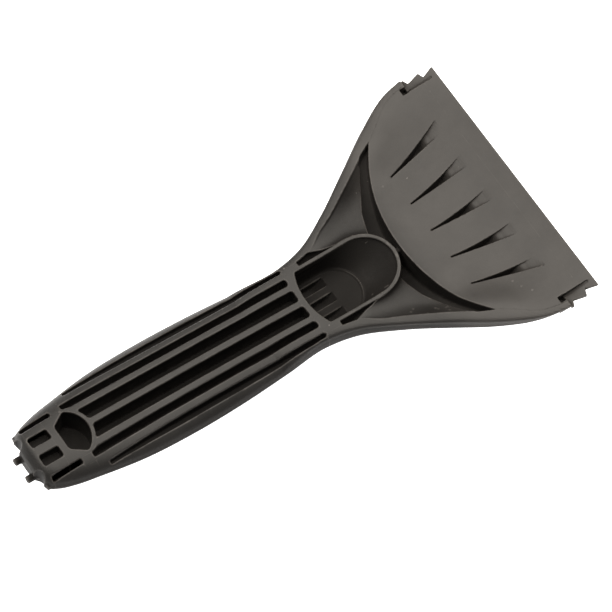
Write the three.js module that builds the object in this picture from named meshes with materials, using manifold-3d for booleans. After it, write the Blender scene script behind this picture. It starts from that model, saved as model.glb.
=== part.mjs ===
// Windshield ice scraper: a wide dished head, a thumb cup and a ribbed handle with a hanging ring.
// Millimetres, +Z up. Sub-parts are laid out with x = 0 at the scraping edge and x negative towards
// the butt; the group is then moved so that the origin is at the middle of the scraper's length.
import * as THREE from 'three';
import { mergeVertices } from 'three/addons/utils/BufferGeometryUtils.js';
import Module from 'manifold-3d';

const wasm = await Module();
wasm.setup();

// ---- overall sizes -------------------------------------------------------------------------
const LENGTH = 212;
const GAP = 0.04;            // clearance left between neighbouring members
const SKIN = 1.8;            // thickness of the closed underside
const HANDLE_TOP = 13.75;
const FLAT = 0.35;           // the rounded underside is cut flat this far up, where the scraper rests
const FAR = 80;              // reach of cutting prisms beyond the part
const BEHIND = -230;         // a line well behind the butt

// ---- head ----------------------------------------------------------------------------------
const EDGE_HALF = 55;        // half of the scraping edge
const EDGE_TOP = 20.2;       // height of the scraping edge above the handle's underside
const EDGE_DEPTH = 6;        // width of the bevelled strip
const EDGE_THICK = 0.8;
const PLATE_THICK = 2.4;
const DISH_X = -33;          // lowest line of the dished plate
const DISH_LOW = 13.4;
const DISH_CURVE = (EDGE_TOP - DISH_LOW) / (DISH_X * DISH_X);
const REAR_X = -50;          // rearmost point of the plate's curved rear edge
const REAR_RADIUS = 70;
const BACK_WALL = 1.8;
const STRIP_HALF = 51.2;     // where the toothed strips start
const STRIP_REAR = -12.8;
const STRIP_STEP = 1.2;      // drop of a toothed strip below the plate
const STRIP_STEP_X = -1.5;   // where that drop starts
const STRIP_STEP_RUN = 8;
const STRIP_FLARE = 0.4;     // spread of the strip's front corner ahead of the edge
const STRIP_CORNER = 56.6;   // half width at the rear of the toothed strips
const POCKET_SIZE = 2.4;     // small square pocket behind each toothed strip
const POCKET_INNER = 50.7;
const POCKET_FLOOR = 15.2;
const BOSS_WALL = 1.3;       // thickness of the boss that closes the pocket underneath
const BOSS_TOP = 18.4;
const PLATE_FLAT = 24;       // the plate rises to the arms beyond this half width
const PLATE_REAR_HALF = 41.4; // half width of the plate along its rear edge
const PLATE_SIDE_REAR = -37; // the plate's sides run along the arms from here
const PLATE_SIDE_FRONT = -16;
const SHEET_REAR = -52;
const SHEET_HALF = 60;
const TOOTH_TIPS = [[-5.6, 55.7], [-11.6, 56.9]];
const TOOTH_ROOTS = [[-4.8, 53.2], [-10.7, 54.4]];

// ---- fanned recesses and the ridges that carry them -----------------------------------------
const RECESSES = 5;
const RECESS_REAR_X = -36.3;
const RECESS_FRONT_X = -12;
const RECESS_PITCH_REAR = 13.25;
const RECESS_PITCH_FRONT = 16.7;
const RECESS_HALF_REAR = 0.25;
const RECESS_HALF_FRONT = 2.3;
const RECESS_FLARE = 1.4;    // power by which a recess widens along its length
const RECESS_DEPTH = [[0, 5.5], [0.5, 5.2], [0.63, 3.9], [0.72, 1.2], [0.85, 0.5], [1, 0.05]];
const RIDGE_WALL = 1.4;

// ---- thumb cup -----------------------------------------------------------------------------
const CUP_CENTRE = -65.5;
const CUP_INNER = 12.1;
const CUP_OUTER = 13.7;
const CUP_REAR = -87.4;
const RIM_REAR = 13.4;
const RIM_FRONT = 15.3;
const PAD_CENTRE = -78.4;
const PAD_HALF = 10.9;
const PAD_FRONT = 5.9;       // height of the pad under the thumb's tip
const PAD_REAR = 4.6;
const PAD_SLOTS = [[-8.9, -5.2], [-1.8, 1.8], [5.2, 8.9]];
const PAD_SLOT_DEPTH = [[-92, 2.6], [-84, 2.4], [-79, 0.5], [-77, -0.6]];
const SLOPE_POWER = 1.35;    // how the cup's slope steepens from the pad to the rim
const RIM_STEP = 0.8;
const BRIDGE_HALF = 1;
const BRIDGE_REACH = 6;

// ---- waist ---------------------------------------------------------------------------------
const WEB_TOP = 12;
const WEB_THICK = 2;
const WALL = 1.6;
const NECK_HALF = 15.5;
const CROSSBAR_REAR = -92.5;
const CROSSBAR_FRONT = -90;
const CORNER_FRONT = -84.2;

// ---- handle --------------------------------------------------------------------------------
const RIB_REAR = -192;
const RIB3_HALF = 1.3;
const FLOOR_THICK = 2;
const FLOOR_C = 6.4;
const FLOOR_B = 7.3;
const FLOOR_A = 8.6;
const GAP_A_REAR = -184;

// ---- butt and hanging ring -----------------------------------------------------------------
const RING_CENTRE = -194.5;
const RING_INNER = 10.9;
const RING_OUTER = 12.5;
const RING_BASE = -194.3;
const RING_BASE_HALF = 5.2;
const RING_SHOULDER = 9.1;
const RING_SIDE = 10.2;
const RING_REAR = -197.3;
const RING_FLOOR = 1.6;
const SHOULDER_FRONT = -188;
const SLIT_FRONT = -192.7;
const SLIT_OUTER = 12.1;
const SHOULDER_OUTER = 13.5;
const WINDOW_INNER = 1.9;
const WINDOW_OUTER = 6.3;
const END_WALL = -205.2;
const END_X = -209.5;
const ENVELOPE_FRONT = -11;
const WINDOW_FLOOR = 9.5;
const SLIT_FLOOR = 6.5;
const NIB_RADIUS = 1.45;
const NIB_ROOT = -207;
const NIBS = [[11.1, 7.2, -208], [4.2, 5.6, -LENGTH], [-4.2, 5.6, -LENGTH], [-11.1, 7.2, -208]];
const SCALLOP_X = -209.7;
const SCALLOP_Y = 7.7;
const SCALLOP_R = 2.7;

// ---- numeric helpers -----------------------------------------------------------------------
// Smooth curve through [x, value] stations, read at x.
function along(stations, x) {
  const last = stations.length - 1;
  if (x <= stations[0][0]) return stations[0][1];
  if (x >= stations[last][0]) return stations[last][1];
  let i = 0;
  while (x > stations[i + 1][0]) i += 1;
  const slope = (a, b) => (stations[b][1] - stations[a][1]) / (stations[b][0] - stations[a][0]);
  const tangent = (k) => slope(Math.max(k - 1, 0), Math.min(k + 1, last));
  const [x0, v0] = stations[i];
  const [x1, v1] = stations[i + 1];
  const h = x1 - x0;
  const t = (x - x0) / h;
  const rise = v1 - v0;
  const bend = t * (1 - t);
  return v0 + rise * t * t * (3 - 2 * t) + h * bend * ((1 - t) * tangent(i) - t * tangent(i + 1));
}

const lerp = (a, b, t) => a + (b - a) * t;
const clamp01 = (t) => Math.min(1, Math.max(0, t));

// The same stations joined by straight lines.
function between(stations, x) {
  const i = Math.max(1, stations.findIndex(([end]) => end >= x));
  const [x0, v0] = stations[i - 1];
  const [x1, v1] = stations[i];
  return lerp(v0, v1, clamp01((x - x0) / (x1 - x0)));
}

const steps = (n) => Array.from({ length: n + 1 }, (_, i) => i / n);

// ---- outer body curves, by distance behind the scraping edge ---------------------------------
const HALF_WIDTH = [[END_X, 8.6], [-207.5, 11.6], [-204, 13.8], [-198, 15.8], [-188, 17.7], [-172, 20.1],
  [-150, 21], [-130, 20.5], [-110, 19.1], [-92, 17.7], [-80, 20.2], [-66.5, 27.3], [-51.5, 37.1],
  [-36, 47.5], [-22.7, 54.5], [-11, 57.1]];
const TOP_Z = [[END_X, 10.4], [-207, 12.7], [-200, 13.6], [-190, HANDLE_TOP], [-100, HANDLE_TOP],
  [-84, 13.4], [-64, 14.3], [-50, 16.2], [-36, 17.3], [-12, 19.4], [0, EDGE_TOP]];
const WIDEST_Z = [[END_X, 7.2], [-130, 7.2], [-104, 8], [-80, 9], [-60, 11.4], [-40, 12.6],
  [-30, 14.2], [-21, 16.8], [-11, 18.6]];
const BOTTOM_Z = [[END_X, 3.2], [-206, 0.9], [-200, -0.2], [-190, -FLAT], [-75, -FLAT], [-62, -FLAT / 2],
  [-50, 2.4], [-36, 9.4], [-22.7, 14.8], [-11, 17.6]];
const halfWidth = (x) => along(HALF_WIDTH, x);
const topZ = (x) => along(TOP_Z, x);

// The top is round along the handle and grows square towards the head.
const ROUND = 2;
const SQUARE = 7;
const SQUARE_START = -112;
const SQUARE_END = -82;
const squareness = (x) => lerp(ROUND, SQUARE, clamp01((x - SQUARE_START) / (SQUARE_END - SQUARE_START)));

// ---- solids --------------------------------------------------------------------------------
function solid(geometry) {
  const g = geometry.clone();
  g.deleteAttribute('normal');
  g.deleteAttribute('uv');
  const merged = mergeVertices(g, 1e-4);
  const vertProperties = new Float32Array(merged.attributes.position.array);
  const triVerts = new Uint32Array(merged.index.array);
  return new wasm.Manifold(new wasm.Mesh({ numProp: 3, vertProperties, triVerts }));
}

function meshFrom(name, body, colour, roughness) {
  const m = body.getMesh();
  const g = new THREE.BufferGeometry();
  const stride = m.numProp;
  const position = new Float32Array((m.vertProperties.length / stride) * 3);
  for (let i = 0; i < position.length / 3; i += 1) {
    for (let k = 0; k < 3; k += 1) position[i * 3 + k] = m.vertProperties[i * stride + k];
  }
  g.setAttribute('position', new THREE.BufferAttribute(position, 3));
  g.setIndex(new THREE.BufferAttribute(new Uint32Array(m.triVerts), 1));
  g.computeVertexNormals();
  const material = new THREE.MeshStandardMaterial({ color: colour, roughness, metalness: 0 });
  const mesh = new THREE.Mesh(g, material);
  mesh.name = name;
  return mesh;
}

// Upright prism over a plan outline of [x, y] points.
function prism(points, low = -FAR, high = FAR) {
  const shape = new THREE.Shape(points.map(([x, y]) => new THREE.Vector2(x, y)));
  const g = new THREE.ExtrudeGeometry(shape, { depth: high - low, bevelEnabled: false, steps: 1 });
  g.translate(0, 0, low);
  return solid(g);
}

// Prism across the part over a side outline of [x, z] points.
function sidePrism(points) {
  const shape = new THREE.Shape(points.map(([x, z]) => new THREE.Vector2(x, z)));
  const g = new THREE.ExtrudeGeometry(shape, { depth: 2 * FAR, bevelEnabled: false, steps: 1 });
  g.rotateX(Math.PI / 2);
  g.translate(0, FAR, 0);
  return solid(g);
}

// Everything between two heights.
const levels = (low, high) => sidePrism([[BEHIND, low], [FAR, low], [FAR, high], [BEHIND, high]]);

// Closed surface from equal rings of points, with flat fans over the first and last ring.
function rings(list) {
  const n = list[0].length;
  const position = [];
  const index = [];
  list.forEach((ring) => ring.forEach((p) => position.push(...p)));
  for (let r = 0; r < list.length - 1; r += 1) {
    for (let k = 0; k < n; k += 1) {
      const a = r * n + k;
      const b = r * n + ((k + 1) % n);
      index.push(a, b, b + n, a, b + n, a + n);
    }
  }
  [0, list.length - 1].forEach((r) => {
    const centre = list[r].reduce((s, p) => s.map((v, i) => v + p[i] / n), [0, 0, 0]);
    const c = position.length / 3;
    position.push(...centre);
    for (let k = 0; k < n; k += 1) {
      const a = r * n + k;
      const b = r * n + ((k + 1) % n);
      if (r === 0) index.push(c, b, a);
      else index.push(c, a, b);
    }
  });
  const g = new THREE.BufferGeometry();
  g.setAttribute('position', new THREE.Float32BufferAttribute(position, 3));
  g.setIndex(index);
  return solid(g);
}

// The outer body as a loft of rounded sections; for a hollow, the bottom is raised and the top opened.
function envelope(bottomIn = 0, topOut = 0) {
  const around = 44;
  const stations = steps(46).map((t) => lerp(END_X, ENVELOPE_FRONT, t));
  return rings(stations.map((x) => {
    const w = halfWidth(x);
    const mid = along(WIDEST_Z, x);
    const up = topZ(x) + topOut - mid;
    const down = mid - along(BOTTOM_Z, x) - bottomIn;
    const ring = [];
    for (let k = 0; k < around; k += 1) {
      const a = (2 * Math.PI * k) / around;
      const power = Math.cos(a) > 0 ? 2 / squareness(x) : 1;
      const y = w * Math.sign(Math.sin(a)) * Math.abs(Math.sin(a)) ** power;
      const lift = Math.abs(Math.cos(a)) ** power;
      ring.push([x, -y, mid + (Math.cos(a) > 0 ? up * lift : -down * lift)]);
    }
    return ring;
  }));
}

const hull = envelope().intersect(levels(0, FAR));
const hollow = envelope(SKIN + FLAT + GAP, FAR);
const skin = hull.subtract(envelope(SKIN + FLAT, FAR));

// ---- plan outlines ---------------------------------------------------------------------------
const rearEdge = (y) => REAR_X + REAR_RADIUS - Math.sqrt(REAR_RADIUS * REAR_RADIUS - y * y);
const ARM_INNER = [[-84, NECK_HALF], [-77.5, 17.2], [-72, 20.9], [-63.7, 25.2], [-55, 30.4], [-46, 36],
  [-41.5, 38.9], [-36.4, 41.6], [-30, 46.4], [-24.6, 50.6], [-18.3, 53], [STRIP_REAR, 53.9]];
const WEB_FRONT = [[-57.7, 11.7], [-55.8, 15], [-53.5, 20], [-51.4, 25], [-49.4, 30]];
const WEB_REAR = [[-79.5, 16.65], [-74, 14.7], [-67, 13.4]];
const WEB_TIP_X = -47.3;
const armInner = (x) => between(ARM_INNER, x);
const gapA1 = (x) => along([[-185, 16.95], [-155, 17.35], [-125, 17.05], [-95, 16.15]], x);
const gapA2 = (x) => along([[-184, 15.65], [-157, 14.8], [-130, 14.5], [-95, 14.5]], x);
const gapB1 = (x) => along([[-185, 12.25], [-147, 11.76], [-110, 11.6]], x);
const gapB2 = (x) => along([[-185, 9.4], [-147, 8.91], [-110, 8.75]], x);
const gapC1 = (x) => along([[-185, 6.52], [-147, 6.26], [-110, 6.17]], x);

const flip = (points, side) => (side > 0 ? points : points.map(([x, y]) => [x, -y]));

// Strip between two edge curves from x0 to x1.
function strip(x0, x1, low, high, side = 1, n = 10) {
  const xs = steps(n).map((t) => lerp(x0, x1, t));
  const lower = xs.map((x) => [x, low(x)]);
  const upper = xs.map((x) => [x, high(x)]).reverse();
  return prism(flip([...lower, ...upper], side));
}

const arc = (cx, r, from, to, n) => steps(n).map((t) => {
  const a = lerp(from, to, t);
  return [cx + r * Math.cos(a), r * Math.sin(a)];
});

function cupOutline(r) {
  return [[CUP_REAR - 0.01, -r], ...arc(CUP_CENTRE, r, -Math.PI / 2, Math.PI / 2, 28), [CUP_REAR - 0.01, r]];
}

// Bowed edge of the crossbar on the side of the thumb cup.
const cupEdge = (offset) => steps(12).map((t) => lerp(-CUP_INNER, CUP_INNER, t))
  .map((y) => [lerp(CROSSBAR_FRONT, CUP_REAR, (y / CUP_INNER) ** 2) + offset, y]);
const cupSide = prism([...cupEdge(GAP), [CUP_REAR + GAP, FAR], [0, FAR], [0, -FAR],
  [CUP_REAR + GAP, -FAR]]);

// Bowed edge of the crossbar on the side of the handle.
const handleEdge = (offset) => steps(8).map((t) => lerp(NECK_HALF, -NECK_HALF, t))
  .map((y) => [CROSSBAR_REAR + (y / NECK_HALF) ** 2 + offset, y]);
const handleSide = prism([[CROSSBAR_REAR + 1 - GAP, FAR], [BEHIND, FAR], [BEHIND, -FAR],
  [CROSSBAR_REAR + 1 - GAP, -FAR], ...handleEdge(-GAP).reverse()]);

function ringHole(inset) {
  const r = RING_INNER - inset;
  const spread = Math.asin(RING_SHOULDER / RING_INNER);
  return [[RING_BASE + inset, -RING_BASE_HALF + inset / 2], ...arc(RING_CENTRE, r, -spread, spread, 26),
    [RING_BASE + inset, RING_BASE_HALF - inset / 2]];
}

function ringBlock(grow) {
  const r = RING_OUTER + grow;
  const half = RING_SIDE + grow;
  const spread = Math.asin(half / r);
  return [[RING_REAR - grow, -half], ...arc(RING_CENTRE, r, -spread, spread, 26), [RING_REAR - grow, half]];
}

// ---- dished plate ----------------------------------------------------------------------------
const PLATE_BORDER = [[-50, 41], [-37, 42.5], [-30, 47], [-24, 53], [-18, 56.5], [-12, 58], [0, 58.5]];

function bodyTop(x, y) {
  const mid = along(WIDEST_Z, x);
  const power = squareness(x);
  const side = Math.min(Math.abs(y) / halfWidth(x), 0.98) ** power;
  return mid + (topZ(x) - mid) * (1 - side) ** (1 / power);
}

function plateTop(x, y) {
  const middle = DISH_LOW + DISH_CURVE * (x - DISH_X) ** 2;
  const rise = clamp01((Math.abs(y) - PLATE_FLAT) / (along(PLATE_BORDER, x) - PLATE_FLAT));
  return lerp(middle, bodyTop(x, y), rise * rise * (3 - 2 * rise));
}

// Sheet over the head between two surfaces, cut to shape by outlines afterwards.
function sheet(lowZ, highZ) {
  const nx = 18;
  const ny = 26;
  const ringAt = (x) => {
    const ys = steps(ny).map((t) => lerp(-SHEET_HALF, SHEET_HALF, t));
    const bottom = ys.map((y) => [x, y, lowZ(x, y)]);
    const top = ys.map((y) => [x, y, highZ(x, y)]).reverse();
    return [...bottom, ...top];
  };
  return rings(steps(nx).map((t) => ringAt(lerp(SHEET_REAR, 0, t))));
}

const plateUnder = (x, y) => plateTop(x, y) - PLATE_THICK;
const plateSheet = sheet(plateUnder, plateTop);
const underPlate = sheet(() => -FAR, (x, y) => plateUnder(x, y) - GAP)
  .subtract(plateSheet.translate([0, 0, -GAP]));

function headOutline() {
  const side = ARM_INNER.filter(([x]) => x > PLATE_SIDE_REAR && x < PLATE_SIDE_FRONT)
    .map(([x, y]) => [x, y - GAP]);
  const pocketRear = STRIP_REAR - POCKET_SIZE;
  side.push([pocketRear, armInner(pocketRear) - GAP]);
  side.push([pocketRear, POCKET_INNER]);
  side.push([STRIP_REAR, POCKET_INNER]);
  side.push([STRIP_REAR, STRIP_HALF]);
  side.push([-EDGE_DEPTH - GAP, STRIP_HALF]);
  const rear = steps(24).map((t) => lerp(-PLATE_REAR_HALF, PLATE_REAR_HALF, t))
    .map((y) => [rearEdge(y), y]);
  return [...rear, ...side, ...flip(side, -1).reverse()];
}

// Recess number k, from -2 to 2, as a tapered ramp open at the top; grow thickens it for a ridge.
function recessRamp(k, grow, drop) {
  return rings(RECESS_DEPTH.map(([t, depth]) => {
    const x = lerp(RECESS_REAR_X, RECESS_FRONT_X, t);
    const y = k * lerp(RECESS_PITCH_REAR, RECESS_PITCH_FRONT, t);
    const half = lerp(RECESS_HALF_REAR, RECESS_HALF_FRONT, t ** RECESS_FLARE) + grow;
    const floor = plateTop(x, y) - depth - drop;
    const end = t === 0 ? x - grow : x;
    return [[end, y + half, floor], [end, y + half, FAR], [end, y - half, FAR], [end, y - half, floor]];
  }));
}

const parts = [];
const plastic = (name, body, colour = 0x5d5855, roughness = 0.62) => {
  parts.push(meshFrom(name, body, colour, roughness));
};

function buildHead() {
  let plate = plateSheet.intersect(prism(headOutline()));
  for (let n = 1; n <= RECESSES; n += 1) {
    const k = n - 3;
    const recess = recessRamp(k, 0, 0);
    plate = plate.subtract(recess);
    const ridge = recessRamp(k, RIDGE_WALL, RIDGE_WALL).intersect(underPlate).subtract(recess);
    plastic(`ice_ridge_${n}`, ridge);
  }
  plastic('head_plate', plate);
  const bevelUnder = (x, y) => plateTop(x, y) - lerp(EDGE_THICK, PLATE_THICK, clamp01(-x / EDGE_DEPTH));
  const bevel = sheet(bevelUnder, plateTop);
  plastic('blade_edge', bevel.intersect(prism([[-EDGE_DEPTH, -STRIP_HALF], [1, -STRIP_HALF],
    [1, STRIP_HALF], [-EDGE_DEPTH, STRIP_HALF]])));
  const stripTop = (x, y) => plateTop(x, y) - STRIP_STEP * clamp01((STRIP_STEP_X - x) / STRIP_STEP_RUN);
  const stripSheet = sheet((x, y) => Math.min(bevelUnder(x, y), stripTop(x, y) - EDGE_THICK), stripTop);
  [['left', 1], ['right', -1]].forEach(([tag, side]) => {
    const inner = STRIP_HALF + GAP;
    const teeth = [[1, inner], [1, EDGE_HALF + STRIP_FLARE], [0, EDGE_HALF], TOOTH_ROOTS[0], TOOTH_TIPS[0],
      TOOTH_ROOTS[1], TOOTH_TIPS[1], [STRIP_REAR + GAP, STRIP_CORNER],
      [STRIP_REAR + GAP, inner]];
    plastic(`tooth_strip_${tag}`, stripSheet.intersect(prism(flip(teeth, side))));
  });
}

// One side arm, with the boss under it that closes the square pocket.
function arm(side) {
  const rear = CROSSBAR_REAR + 1 + GAP;
  const front = STRIP_REAR - GAP;
  const [, outer] = ARM_INNER.at(-1);
  const bar = prism(flip([[rear, NECK_HALF], ...ARM_INNER.slice(0, -1), [front, outer], [front, FAR],
    [rear, FAR]], side));
  const pocketRear = STRIP_REAR - POCKET_SIZE;
  const pocketOuter = POCKET_INNER + POCKET_SIZE;
  const box = (x0, x1, y0, y1, z0, z1) => prism(flip([[x0, y0], [x1, y0], [x1, y1], [x0, y1]], side), z0, z1);
  const low = POCKET_FLOOR - BOSS_WALL;
  const boss = box(pocketRear - BOSS_WALL, STRIP_REAR + BOSS_WALL, POCKET_INNER - BOSS_WALL,
    pocketOuter + BOSS_WALL, low, BOSS_TOP).intersect(underPlate);
  const root = box(pocketRear - BOSS_WALL, front, outer, outer + BOSS_WALL, low, BOSS_TOP);
  const pocket = box(pocketRear, STRIP_REAR, POCKET_INNER, pocketOuter, POCKET_FLOOR, FAR);
  return hull.intersect(bar).add(boss).add(root).subtract(pocket);
}

function buildWaist() {
  const backEdge = steps(24).map((t) => lerp(-PLATE_REAR_HALF, PLATE_REAR_HALF, t));
  const rear = backEdge.map((y) => [rearEdge(y), y]);
  const front = backEdge.map((y) => [rearEdge(y) + BACK_WALL, y]).reverse();
  const inside = prism([...ARM_INNER.map(([x, y]) => [x, y - GAP]),
    ...ARM_INNER.map(([x, y]) => [x, GAP - y]).reverse()]);
  const backWall = prism([...rear, ...front]).intersect(underPlate).intersect(hull);
  plastic('plate_back_wall', backWall.intersect(inside));
  const bellySide = [[CORNER_FRONT + GAP, NECK_HALF - GAP], ...ARM_INNER.filter(([x]) => x < PLATE_SIDE_REAR)
    .map(([x, y]) => [x, y - GAP])];
  const bellyFront = backEdge.map((y) => [rearEdge(y) - GAP, y]).reverse();
  const cupRear = [[CORNER_FRONT + GAP, CUP_OUTER], [CUP_REAR, CUP_OUTER]];
  const belly = prism([...flip(bellySide, -1), ...[...bellyFront].reverse(), ...[...bellySide].reverse(),
    ...cupRear, ...cupEdge(GAP).reverse(), ...flip(cupRear, -1).reverse()]);
  plastic('belly_skin', skin.intersect(belly));

  const rimTop = sidePrism([[BEHIND, -FAR], [0, -FAR], [0, lerp(RIM_REAR, RIM_FRONT, 2)],
    [CUP_REAR, RIM_REAR], [BEHIND, RIM_REAR]]);
  const cupOuter = prism(cupOutline(CUP_OUTER));
  const cupInner = prism(cupOutline(CUP_INNER));
  const bridge = prism([[REAR_X - BRIDGE_REACH, -BRIDGE_HALF], [REAR_X - GAP, -BRIDGE_HALF],
    [REAR_X - GAP, BRIDGE_HALF], [REAR_X - BRIDGE_REACH, BRIDGE_HALF]]);
  const cupClear = prism(cupOutline(CUP_OUTER + GAP));
  plastic('thumb_cup_wall', cupOuter.subtract(cupInner).intersect(hollow).intersect(rimTop)
    .intersect(cupSide));
  plastic('cup_bridge', bridge.subtract(cupClear).intersect(hollow).intersect(rimTop));

  [['left', 1], ['right', -1]].forEach(([tag, side]) => {
    const armPoints = ARM_INNER.filter(([x]) => x > WEB_REAR[0][0] && x < WEB_TIP_X)
      .map(([x, y]) => [x, y - GAP]);
    const outline = [...WEB_REAR, [WEB_REAR[2][0], WEB_FRONT[0][1]], ...WEB_FRONT,
      [WEB_TIP_X, armInner(WEB_TIP_X) - GAP], ...[...armPoints].reverse()];
    const area = prism(flip(outline, side)).subtract(cupClear).intersect(inside);
    plastic(`web_${tag}`, area.intersect(levels(WEB_TOP - WEB_THICK, WEB_TOP)));
    const below = area.intersect(levels(-FAR, WEB_TOP - WEB_THICK - GAP)).intersect(hollow);
    const band = (edge, dx, dy) => prism(flip([...edge, ...edge.map(([x, y]) => [x + dx, y + dy])
      .reverse()], side));
    plastic(`web_front_wall_${tag}`, below.intersect(band(WEB_FRONT, -WALL, -WALL / 4)));
    plastic(`web_rear_wall_${tag}`, below.intersect(band(WEB_REAR, WALL / 2, WALL)));
    plastic(`arm_${tag}`, arm(side));
  });

  const corner = [[CUP_REAR, CUP_OUTER + GAP], [CORNER_FRONT, CUP_OUTER + GAP],
    [CORNER_FRONT, NECK_HALF - GAP], [CROSSBAR_REAR + 1, NECK_HALF - GAP]];
  const crossbar = [...cupEdge(0), ...corner, ...handleEdge(0), ...flip(corner, -1).reverse()];
  plastic('crossbar', hull.intersect(prism(crossbar)));
}

// Thumb pad with the slope round it, cut by three slots at its rear.
function buildScoop() {
  const count = 40;
  const padZ = (x) => lerp(PAD_REAR, PAD_FRONT, clamp01((x - CUP_REAR) / (PAD_CENTRE + PAD_HALF - CUP_REAR)));
  const rimZ = (x) => lerp(RIM_REAR, RIM_FRONT, (x - CUP_REAR) / (CUP_CENTRE + CUP_INNER - CUP_REAR))
    - RIM_STEP;
  const rear = CROSSBAR_FRONT - 2;
  const outline = (centre, half, t) => {
    const straight = centre - rear;
    const total = 2 * straight + Math.PI * half;
    const s = t * total;
    if (s < straight) return [rear + s, -half];
    if (s > total - straight) return [rear + (total - s), half];
    const a = -Math.PI / 2 + (s - straight) / half;
    return [centre + half * Math.cos(a), half * Math.sin(a)];
  };
  const ringAt = (mix) => steps(count).map((t) => {
    const [px, py] = outline(PAD_CENTRE, PAD_HALF, t);
    const [rx, ry] = outline(CUP_CENTRE, CUP_INNER - GAP, t);
    return [lerp(px, rx, mix), lerp(py, ry, mix), lerp(padZ(px), rimZ(rx), mix ** SLOPE_POWER)];
  });
  const base = ringAt(1).map(([x, y]) => [x, y, -FAR]);
  const slope = steps(5).map((t) => ringAt(1 - t));
  let scoop = rings([base, ...slope]).intersect(hollow).intersect(cupSide);
  PAD_SLOTS.forEach(([y0, y1]) => {
    const ring = (x, floor) => [[x, y1, floor], [x, y1, FAR], [x, y0, FAR], [x, y0, floor]];
    scoop = scoop.subtract(rings(PAD_SLOT_DEPTH.map(([x, depth]) => ring(x, padZ(x) - depth))));
  });
  plastic('thumb_scoop', scoop);
}

function buildHandle() {
  const ringClear = prism(ringBlock(GAP));
  const front = CROSSBAR_REAR + 1;
  const ribs = [['1', gapB1, gapA2, 1], ['2', gapC1, gapB2, 1], ['4', gapC1, gapB2, -1],
    ['5', gapB1, gapA2, -1]];
  ribs.forEach(([tag, low, high, side]) => {
    const start = low === gapB1 ? SHOULDER_FRONT + GAP : RIB_REAR;
    const bar = strip(start, front, (x) => low(x), (x) => high(x), side, 14).subtract(ringClear);
    plastic(`handle_rib_${tag}`, hull.intersect(bar).intersect(handleSide));
  });
  const middle = strip(RIB_REAR, front, () => -RIB3_HALF, () => RIB3_HALF).subtract(ringClear);
  plastic('handle_rib_3', hull.intersect(middle).intersect(handleSide));

  const floors = [['a', gapA2, gapA1, FLOOR_A, GAP_A_REAR], ['b', gapB2, gapB1, FLOOR_B, SHOULDER_FRONT],
    ['c', () => RIB3_HALF, gapC1, FLOOR_C, RIB_REAR]];
  floors.forEach(([tag, low, high, top, start]) => {
    [['left', 1], ['right', -1]].forEach(([word, side]) => {
      const area = strip(start + GAP, front, (x) => low(x) + GAP, (x) => high(x) - GAP, side, 14)
        .intersect(handleSide);
      const slab = levels(top - FLOOR_THICK, top);
      plastic(`gap_floor_${tag}_${word}`, area.subtract(ringClear).intersect(slab).intersect(hull));
    });
  });

  [['left', 1], ['right', -1]].forEach(([word, side]) => {
    const xs = steps(14).map((t) => lerp(GAP_A_REAR, CROSSBAR_REAR + 1 - GAP, t));
    const inner = [[END_WALL + GAP, SLIT_OUTER], [SLIT_FRONT, SLIT_OUTER], [SLIT_FRONT, SHOULDER_OUTER],
      [SHOULDER_FRONT, SHOULDER_OUTER], [SHOULDER_FRONT, gapA2(SHOULDER_FRONT) + GAP],
      [GAP_A_REAR, gapA2(GAP_A_REAR) + GAP], ...xs.map((x) => [x, gapA1(x)])];
    const outline = [...inner, [xs.at(-1), FAR], [END_WALL + GAP, FAR]];
    plastic(`handle_side_${word}`, hull.intersect(prism(flip(outline, side))));
    const shoulder = prism(flip([[SLIT_FRONT + GAP, RING_SIDE + GAP], [SHOULDER_FRONT - GAP, RING_SIDE + GAP],
      [SHOULDER_FRONT - GAP, SHOULDER_OUTER - GAP], [SLIT_FRONT + GAP, SHOULDER_OUTER - GAP]], side));
    plastic(`shoulder_${word}`, hull.intersect(shoulder).subtract(ringClear));
  });
}

function buildButt() {
  const hole = prism(ringHole(0));
  plastic('hanging_ring', hull.intersect(prism(ringBlock(0))).subtract(hole));
  plastic('ring_floor', hull.intersect(prism(ringHole(GAP))).intersect(levels(-FAR, RING_FLOOR)));
  const block = (x0, x1, y0, y1) => prism([[x0, y0], [x1, y0], [x1, y1], [x0, y1]]);
  const x0 = END_WALL + GAP;
  const x1 = RING_REAR - GAP;
  const slab = (top) => levels(top - FLOOR_THICK, top);
  plastic('end_rib_middle', hull.intersect(block(x0, x1, -WINDOW_INNER, WINDOW_INNER)));
  [['left', 1], ['right', -1]].forEach(([word, side]) => {
    const span = (a, b, low, high) => (side > 0 ? block(a, b, low, high) : block(a, b, -high, -low));
    plastic(`end_rib_${word}`, hull.intersect(span(x0, x1, WINDOW_OUTER, RING_SIDE)));
    plastic(`window_floor_${word}`, slab(WINDOW_FLOOR)
      .intersect(span(x0, x1, WINDOW_INNER + GAP, WINDOW_OUTER - GAP)));
    plastic(`slit_floor_${word}`, slab(SLIT_FLOOR)
      .intersect(span(x0, SLIT_FRONT, RING_SIDE + GAP, SLIT_OUTER - GAP)));
  });

  const nib = (y, z, from, to, r) => {
    const g = new THREE.CylinderGeometry(r, r, to - from, 20);
    g.rotateZ(Math.PI / 2);
    g.translate((from + to) / 2, y, z);
    return solid(g);
  };
  let end = hull.intersect(block(BEHIND, END_WALL - GAP, -FAR, FAR));
  [1, -1].forEach((side) => {
    const g = new THREE.CylinderGeometry(SCALLOP_R, SCALLOP_R, 40, 24);
    g.rotateX(Math.PI / 2);
    g.translate(SCALLOP_X, side * SCALLOP_Y, 0);
    end = end.subtract(solid(g));
  });
  NIBS.forEach(([y, z, tip], i) => {
    end = end.subtract(nib(y, z, tip, NIB_ROOT, NIB_RADIUS + GAP));
    plastic(`end_nib_${i + 1}`, nib(y, z, tip, NIB_ROOT - GAP, NIB_RADIUS));
  });
  plastic('end_wall', end);
}

buildHead();
buildWaist();
buildScoop();
buildHandle();
buildButt();

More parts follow.
